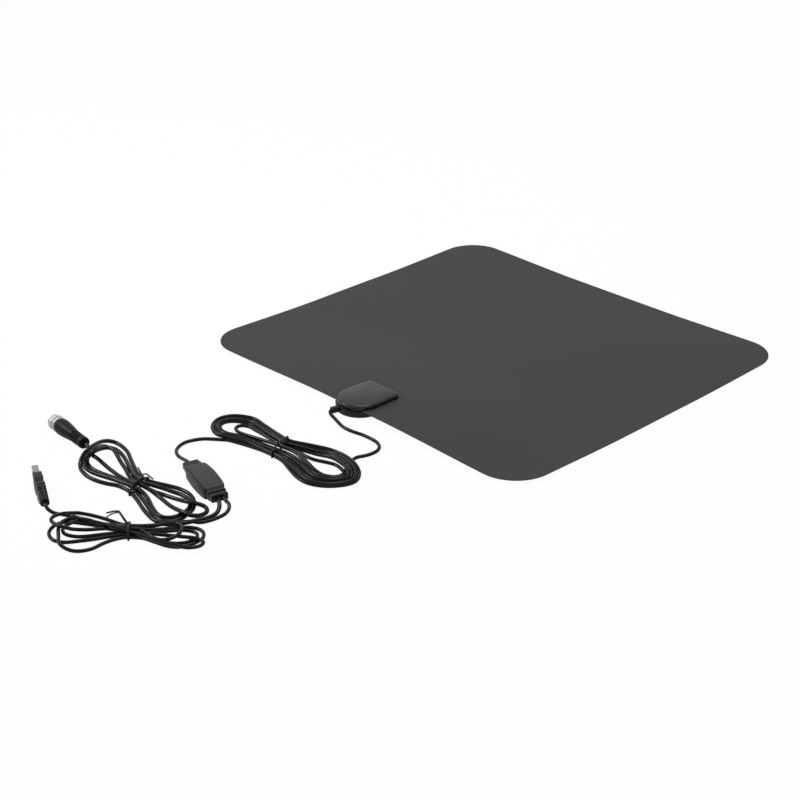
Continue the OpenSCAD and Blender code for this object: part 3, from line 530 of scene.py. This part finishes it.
brass = metal("turned_brass", (0.62, 0.46, 0.20), (0.76, 0.59, 0.31), 0.28, 900, 0.00001)
foil = metal("rolled_aluminium_foil", (0.74, 0.75, 0.77), (0.86, 0.87, 0.88), 0.35, 600, 0.00001)
for node, finish in (("pod_board", circuit_board), ("pod_balun", ferrite), ("pod_rivets", brass),
                     ("foil_left", foil), ("foil_right", foil)):
    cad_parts[node].material_slots[0].material = finish

# The amplifier's case is two barrel-shaped shells of satin black ABS that meet
# at mid height. A narrow groove runs round the top, just inside its edge.
amp_at = Vector((18.5, -312.9, 5.6)) * MM
amp_turn = radians(-15.7)
amp_half = 19.75 * MM
amp_w = 8.5 * MM
amp_w_end = 7.75 * MM
amp_h = 5.6 * MM
amp_h_end = 4.2 * MM
amp_corner = 2.6 * MM
amp_wall = 1.3 * MM
# Each ring of the top: how far in from the side, and how far below the top
amp_rings = [(0, 0.62), (0.06, 0.42), (0.22, 0.34), (0.34, 0.34), (0.36, 0.95), (0.74, 0.95),
             (0.76, 0.20), (0.86, 0.06), (1.05, 0)]
amp_steps = [inset * MM for inset, _ in amp_rings]
amp_columns = [s - amp_half for s in amp_steps] + [
    -amp_half + amp_corner + 2 * (amp_half - amp_corner) * i / 28 for i in range(29)] + [
    amp_half - s for s in reversed(amp_steps)]
amp_rows = [s - amp_w for s in amp_steps] + [
    -amp_w + amp_corner + 2 * (amp_w - amp_corner) * i / 8 for i in range(9)] + [
    amp_w - s for s in reversed(amp_steps)]
amp_case_at = Matrix.Translation(amp_at) @ Matrix.Rotation(amp_turn, 4, "Z")


def ring_drop(inset):
    """Depth below the top at a distance in from the case's side."""
    for (near, a), (far, b) in zip(amp_rings, amp_rings[1:]):
        if inset <= far * MM:
            return (a + (b - a) * max(inset - near * MM, 0) / ((far - near) * MM)) * MM
    return 0.0


def barrel_half(name, grooved):
    """The closed upper half of the barrel, with or without its groove."""
    piece = add_sheet(name, amp_columns, amp_rows)
    for v in piece.data.vertices:
        inset = min(amp_half - abs(v.co.x), amp_w - abs(v.co.y))
        x, y = round_corner(v.co.x, v.co.y, amp_half, amp_w, amp_corner)
        bow = (x / amp_half) ** 2
        down = ring_drop(inset) if grooved else max(0.5 * MM - inset, 0)
        v.co = (x, y * (1 - (1 - amp_w_end / amp_w) * bow), amp_h - (amp_h - amp_h_end) * bow - down)
    stretch_down(piece, 20 * MM)
    for v in piece.data.vertices:
        v.co.z = max(v.co.z, 0.05 * MM)
    bpy.ops.object.mode_set(mode="EDIT")
    bpy.ops.mesh.select_all(action="DESELECT")
    bpy.ops.mesh.select_non_manifold()
    bpy.ops.mesh.edge_face_add()
    bpy.ops.object.mode_set(mode="OBJECT")
    return piece


def add_block(size, place=(0, 0, 0), edge=0):
    """A block of a size at a place, with its edges rounded."""
    bpy.ops.object.select_all(action="DESELECT")
    bpy.ops.mesh.primitive_cube_add(
        size=1, location=[p * MM for p in place], scale=[s * MM for s in size])
    piece = bpy.context.object
    bpy.ops.object.transform_apply(location=True, rotation=True, scale=True)
    if edge:
        apply_modifier(piece, "BEVEL", width=edge * MM, segments=4)
    return piece


amp_shells = []
for half, up in (("top", 1), ("bottom", -1)):
    shell = barrel_half("amplifier_" + half, half == "top")
    cavity = barrel_half("cavity", False)
    for v in cavity.data.vertices:
        v.co.x *= 1 - amp_wall / amp_half
        v.co.y *= 1 - amp_wall / amp_w
        v.co.z = v.co.z * (1 - amp_wall / amp_h) - (0.5 * MM if v.co.z < 0.1 * MM else 0)
    carve(shell, cavity)
    carve(shell, add_block((60, 9.6, 4.6), edge=1.2))
    shell.matrix_world = amp_case_at @ Matrix.Rotation(0 if up > 0 else pi, 4, "X")
    take(shell)
    bpy.ops.object.transform_apply(location=True, rotation=True, scale=True)
    bpy.ops.object.shade_smooth_by_angle(angle=radians(30))
    amp_shells.append(shell)
case_abs = moulded(
    "case_satin_abs", (0.030, 0.030, 0.031), (0.037, 0.037, 0.038), 0.48, 0.16, 1600, 0.00001)
fit_out(amp_shells[0], case_abs, "antenna", "amplifier", "amp_case_top")
fit_out(amp_shells[1], case_abs, "antenna", "amplifier", "amp_case_bottom")

# The amplifier's end collars are soft PVC. Inside are its board, the amplifier
# chip, a wound inductor and three ceramic capacitors.
tinned = moulded("ceramic_chip", (0.42, 0.30, 0.18), (0.52, 0.38, 0.24), 0.4, 0.5, 1500, 0.00002)
winding = metal("enamelled_copper", (0.45, 0.20, 0.09), (0.60, 0.28, 0.13), 0.3, 2500, 0.00004)
for node, finish in (("amp_inlet_gland", soft_pvc), ("amp_outlet_gland", soft_pvc),
                     ("amp_board", circuit_board), ("amp_chip", ferrite),
                     ("amp_inductor", winding), ("amp_capacitors", tinned)):
    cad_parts[node].material_slots[0].material = finish

# The aerial plug: a boot of soft PVC moulded over the crimp, with four grooves
# behind that let it flex, then a nickel-plated nut that spins on the post.
plug_at = Matrix.Translation(Vector((-88.5, -343.2, 6.4)) * MM) @ Matrix.Rotation(
    radians(175), 4, "Z") @ Matrix.Rotation(pi / 2, 4, "Y")


def turn_on_lathe(name, profile, sides=48):
    """A ring drawn along Z through steps of radius and height, and closed into itself."""
    bpy.ops.object.select_all(action="DESELECT")
    bpy.ops.mesh.primitive_circle_add(
        vertices=sides, radius=profile[0][0], location=(0, 0, profile[0][1]))
    piece = bpy.context.object
    piece.name = piece.data.name = name
    bpy.ops.object.transform_apply(location=True, rotation=True, scale=True)
    bpy.ops.object.mode_set(mode="EDIT")
    bpy.ops.mesh.select_all(action="SELECT")
    for (r0, z0), (r1, z1) in zip(profile, profile[1:]):
        bpy.ops.mesh.extrude_region_move(TRANSFORM_OT_translate={"value": (0, 0, z1 - z0)})
        bpy.ops.transform.resize(value=(r1 / r0, r1 / r0, 1), center_override=(0, 0, z1))
    bpy.ops.mesh.select_all(action="SELECT")
    bpy.ops.mesh.remove_doubles(threshold=0.000005)
    bpy.ops.mesh.normals_make_consistent(inside=False)
    bpy.ops.object.mode_set(mode="OBJECT")
    return piece


def put(piece, place):
    """Moves a finished piece's mesh to its place."""
    piece.matrix_world = place
    take(piece)
    bpy.ops.object.transform_apply(location=True, rotation=True, scale=True)
    bpy.ops.object.shade_smooth_by_angle(angle=radians(40))


boot_profile = [(1.6, 0), (3.9, 0), (4.4, 0.25), (4.6, 0.9), (4.62, 4.9)]
for groove in range(4):
    start = 5.2 + 2.7 * groove
    boot_profile += [(4.5, start), (3.75, start + 0.12), (3.75, start + 0.95), (4.5, start + 1.1)]
    boot_profile += [(4.66, start + 1.4), (4.66, start + 2.4)]
boot_profile += [(4.75, 16.6), (5.2, 20), (5.65, 23.5), (6.0, 27), (6.25, 30), (6.38, 33), (6.35, 35),
                 (6.15, 36.6), (5.7, 37.5), (5.1, 37.9), (4.2, 38), (4.2, 24), (1.6, 24), (1.6, 0)]
boot = turn_on_lathe("boot", [(r * MM, z * MM) for r, z in boot_profile])
put(boot, plug_at)
boot_pvc = moulded(
    "boot_black_pvc", (0.004, 0.004, 0.004), (0.008, 0.008, 0.008), 0.4, 0.09, 1200, 0.000008)
fit_out(boot, boot_pvc, "antenna", "rubber", "connector_boot")
# The nickel's colour is painted darker than bare nickel: painted shade that stands in for the dark
# reflections which the white room doesn't give the nut and body.
nickel = metal("nickel_plate_painted_dark", (0.30, 0.30, 0.30), (0.44, 0.44, 0.43), 0.2, 700, 0.000004)
polythene = moulded("white_polythene", (0.66, 0.66, 0.63), (0.76, 0.76, 0.73), 0.45, 0.5, 1200, 0.00002)
for node, finish in (("connector_body", nickel), ("coupling_nut", nickel),
                     ("connector_insulator", polythene), ("centre_contact", brass)):
    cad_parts[node].material_slots[0].material = finish

# The power plug: a soft PVC grip moulded round a folded steel shell, with a
# white tongue and four gilt contacts inside. It stands on its narrow edge.
usb_at = Matrix.Translation(Vector((-43.4, -409.2, 7)) * MM) @ Matrix.Rotation(radians(155.5), 4, "Z")
grip_t = 6.6 * MM
grip_h = 14 * MM
# Each station of the grip, from its rear to its front, and how far its sides stand in
grip_stations = [(0.2, 0.35), (0.6, 0.1), (3.4, 0.05), (3.6, 0.45), (4.5, 0.45), (4.7, 0.05), (5.0, 0),
                 (7.2, 0), (7.5, 0.3), (9.4, 0.45), (9.6, 0.8), (10.3, 0.8), (10.5, 0.4), (13.2, 0.4),
                 (13.6, 0.05), (14, 0), (23, 0)]
bpy.ops.object.select_all(action="DESELECT")
bpy.ops.mesh.primitive_cube_add(size=1, location=(11.6 * MM, 0, 0), scale=(22.8 * MM, grip_t, grip_h))
grip = bpy.context.object
grip.name = grip.data.name = "usb_grip_block"
bpy.ops.object.transform_apply(location=True, rotation=True, scale=True)
bpy.ops.object.mode_set(mode="EDIT")
for x, _ in grip_stations[1:-1]:
    bpy.ops.mesh.select_all(action="SELECT")
    bpy.ops.mesh.bisect(plane_co=(x * MM, 0, 0), plane_no=(1, 0, 0))
bpy.ops.object.mode_set(mode="OBJECT")
for v in grip.data.vertices:
    _, inset = min(grip_stations, key=lambda station: abs(station[0] * MM - v.co.x))
    v.co.y -= copysign(inset * MM, v.co.y)
    v.co.z -= copysign(inset * MM, v.co.z)
apply_modifier(
    grip, "BEVEL", width=0.45 * MM, segments=3, limit_method="ANGLE", angle_limit=radians(60))
relief_profile = [(1.35, -0.6), (6.2, -0.6), (6.5, 0.2), (6.2, 0.9)]
for rib in range(4):
    back = 1 + 2.1 * rib
    relief_profile += [(6.1 - 0.31 * back, back), (6.0 - 0.31 * back, back + 0.8),
                       (6.3 - 0.31 * back, back + 0.9), (6.3 - 0.31 * (back + 1.3), back + 1.95)]
relief_profile += [(3.1, 9.5), (3.1, 9.9), (3.7, 10.2), (3.7, 10.7), (3.2, 11.3),
                   (1.35, 11.3), (1.35, -0.6)]
relief = turn_on_lathe("relief", [(r * MM, z * MM) for r, z in relief_profile])
relief.matrix_world = Matrix.Rotation(-pi / 2, 4, "Y")
take(relief)
bpy.ops.object.transform_apply(location=True, rotation=True, scale=True)
carve(relief, add_block((60, 6.4, 30)), "INTERSECT")
carve(grip, add_block((16, 4.5, 12), (25, 0, 0)))
take(grip)
relief.select_set(True)
bpy.ops.object.join()
put(grip, usb_at)
grip_pvc = moulded(
    "grip_black_pvc", (0.008, 0.008, 0.008), (0.014, 0.014, 0.014), 0.40, 0.15, 1400, 0.00001)
fit_out(grip, grip_pvc, "antenna", "rubber", "usb_grip")
steel = metal("folded_steel", (0.24, 0.24, 0.24), (0.32, 0.32, 0.32), 0.3, 800, 0.000004)
for node, finish in (("usb_shell", steel), ("usb_tongue", polythene), ("usb_contacts", brass)):
    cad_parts[node].material_slots[0].material = finish

# The ties are plastic-covered wires bent round the strands and twisted. Each
# one is pulled taut, so its ring follows the outermost strands at the waist.
tie_pvc = moulded(
    "tie_black_pvc", (0.004, 0.004, 0.004), (0.008, 0.008, 0.008), 0.34, 0.15, 1500, 0.000004)


def ring_round(line, place, turn, span, cord_d, wire):
    """The taut ring of a tie round the strands of a line that cross its plane."""
    place = Vector((place[0], place[1], 0)) * MM
    along = Vector((cos(radians(turn)), sin(radians(turn)), 0))
    across = Vector((-along.y, along.x, 0))
    met = []
    for a, b in zip(line, line[1:]):
        s, t = (a - place).dot(along), (b - place).dot(along)
        if s * t <= 0 and s != t:
            p = a + (b - a) * (s / (s - t))
            w = (p - place).dot(across)
            if abs(w) < span * MM:
                met.append((w, p.z))
    reach = (cord_d + wire) / 2 * MM
    ring = []
    for i in range(64):
        u, v = cos(2 * pi * i / 64), sin(2 * pi * i / 64)
        w, z = max(met, key=lambda p: p[0] * u + p[1] * v)
        w, z = w + reach * u, max(z + reach * v, wire / 2 * MM)
        ring.append(place + across * w + Vector((0, 0, z)))
    return ring


lead_tie = lay_cord(
    "lead_tie_ring", ring_round(lead_line, (13, -238.4), 24, 20, lead_d, 1.3), 1.5, True)
tv_tie = lay_cord(
    "tv_tie_ring", ring_round(tv_line, (-13.3, -348.2), 20, 15, tv_d, 1.2), 1.4, True)
usb_tie = lay_cord(
    "usb_tie_ring", ring_round(usb_line, (34.6, -391.2), 52, 14, usb_d, 1.6), 1.9, True)
ends = [
    lay_cord("tv_tie_end_a", smooth_line(
        [(-17.5, -341, 4.6), (-19.4, -340.8, 6), (-22.2, -340.3, 8), (-25.4, -339.7, 9.4)]), 1.1),
    lay_cord("tv_tie_end_b", smooth_line(
        [(-17.5, -341, 4.6), (-18.6, -340.5, 6.4), (-15.5, -339.8, 8), (-11.4, -339.8, 8),
         (-7.5, -339.6, 7)]), 1.1),
    lay_cord("usb_tie_stem", smooth_line(
        [(30, -387.5, 4.5), (28.4, -388.5, 7), (24.6, -388.3, 9), (20.5, -387.4, 9.8),
         (17.1, -386.6, 10)]), 1.7),
    lay_cord("usb_tie_end_a", smooth_line(
        [(17.6, -386.4, 10), (15, -388, 9.8), (13.4, -390, 9.4), (11.6, -393, 9)]), 1.2),
    lay_cord("usb_tie_end_b", smooth_line(
        [(18, -387, 9.8), (16, -390, 9.3), (15.2, -392.6, 8.8), (15.6, -396, 8)]), 1.0)]


def as_mesh(*curves):
    """Turns bent wires into one mesh piece."""
    bpy.ops.object.select_all(action="DESELECT")
    for curve in curves:
        curve.select_set(True)
    bpy.context.view_layer.objects.active = curves[0]
    bpy.ops.object.convert(target="MESH")
    if len(curves) > 1:
        bpy.ops.object.join()
    return bpy.context.object


fit_out(as_mesh(lead_tie), tie_pvc, "antenna", "rubber", "lead_tie")
fit_out(as_mesh(tv_tie, *ends[:2]), tie_pvc, "antenna", "rubber", "tv_tie")
fit_out(as_mesh(usb_tie, *ends[2:]), tie_pvc, "antenna", "rubber", "usb_tie")

amplifier = ["amplifier_top", "amplifier_bottom", "amp_inlet_gland", "amp_outlet_gland",
             "amp_board", "amp_chip", "amp_inductor", "amp_capacitors"]
aerial_plug = ["boot", "connector_body", "connector_insulator", "centre_contact", "coupling_nut"]
power_plug = ["usb_grip_block", "usb_shell", "usb_tongue", "usb_contacts"]
for cord, line, diameter, far_end, pieces in (
        (lead, lead_line, 0.0028, "connector", amplifier),
        (tv_lead, tv_line, 0.0032, "plug", aerial_plug),
        (usb_lead, usb_line, 0.0027, "plug", power_plug)):
    round(line_length(line), 2)

# The studio is a white floor that fades into a white room. A softbox stands at
# the left, a broad one hangs overhead, and the room itself gives the rest.
bpy.ops.object.select_all(action="DESELECT")
bpy.ops.mesh.primitive_plane_add(size=8, location=(0, -0.1, -0.0004))
floor = bpy.context.object
floor.name = "floor"


def seen_white(tree):
    """1 for what the camera, a reflection or clear plastic sees, 0 for light on the object."""
    path = tree.nodes.new("ShaderNodeLightPath")
    camera_ray, glossy_ray, clear_ray = (
        Shade(tree, path.outputs[name])
        for name in ("Is Camera Ray", "Is Glossy Ray", "Is Transmission Ray"))
    total = camera_ray + glossy_ray + clear_ray
    return total.node("Math", {"operation": "MINIMUM"}, {0: total, 1: 1.0})


paper = bpy.data.materials.new("studio_paper")
paper.use_nodes = True
tree = paper.node_tree
tree.nodes.clear()
white = Shade(tree).node("BsdfDiffuse", {}, {"Color": (0.9, 0.9, 0.9, 1)})
glow = Shade(tree).node("Emission", {}, {"Color": (1, 1, 1, 1), "Strength": 1.0})
shown = Shade(tree).node("MixShader", {}, {0: seen_white(tree) * 0.955, 1: white, 2: glow})
tree.links.new(shown.socket, tree.nodes.new("ShaderNodeOutputMaterial").inputs["Surface"])
floor.data.materials.append(paper)

room = bpy.data.worlds.new("room")
room.use_nodes = True
bpy.context.scene.world = room
tree = room.node_tree
backdrop = tree.nodes["Background"]
backdrop.inputs["Color"].default_value = (1, 1, 1, 1)
tree.links.new((seen_white(tree) * 0.65 + 0.35).socket, backdrop.inputs["Strength"])


def softbox(name, toward, distance, width, height, watts):
    """A rectangular lamp that hangs in a direction from the pod and faces it."""
    data = bpy.data.lights.new(name, "AREA")
    data.shape = "RECTANGLE"
    data.size, data.size_y, data.energy = width, height, watts
    made = bpy.data.objects.new(name, data)
    away = Vector(toward).normalized()
    made.location = Vector((0, -0.15, 0)) + away * distance
    made.rotation_euler = away.to_track_quat("Z", "Y").to_euler()
    bpy.context.scene.collection.objects.link(made)


softbox("left_softbox", (-0.65, -0.43, 0.59), 1.5, 0.45, 0.3, 9)
softbox("top_softbox", (-0.15, 0.25, 1.0), 1.6, 0.7, 0.5, 12)

bpy.context.scene.view_settings.view_transform = "Standard"
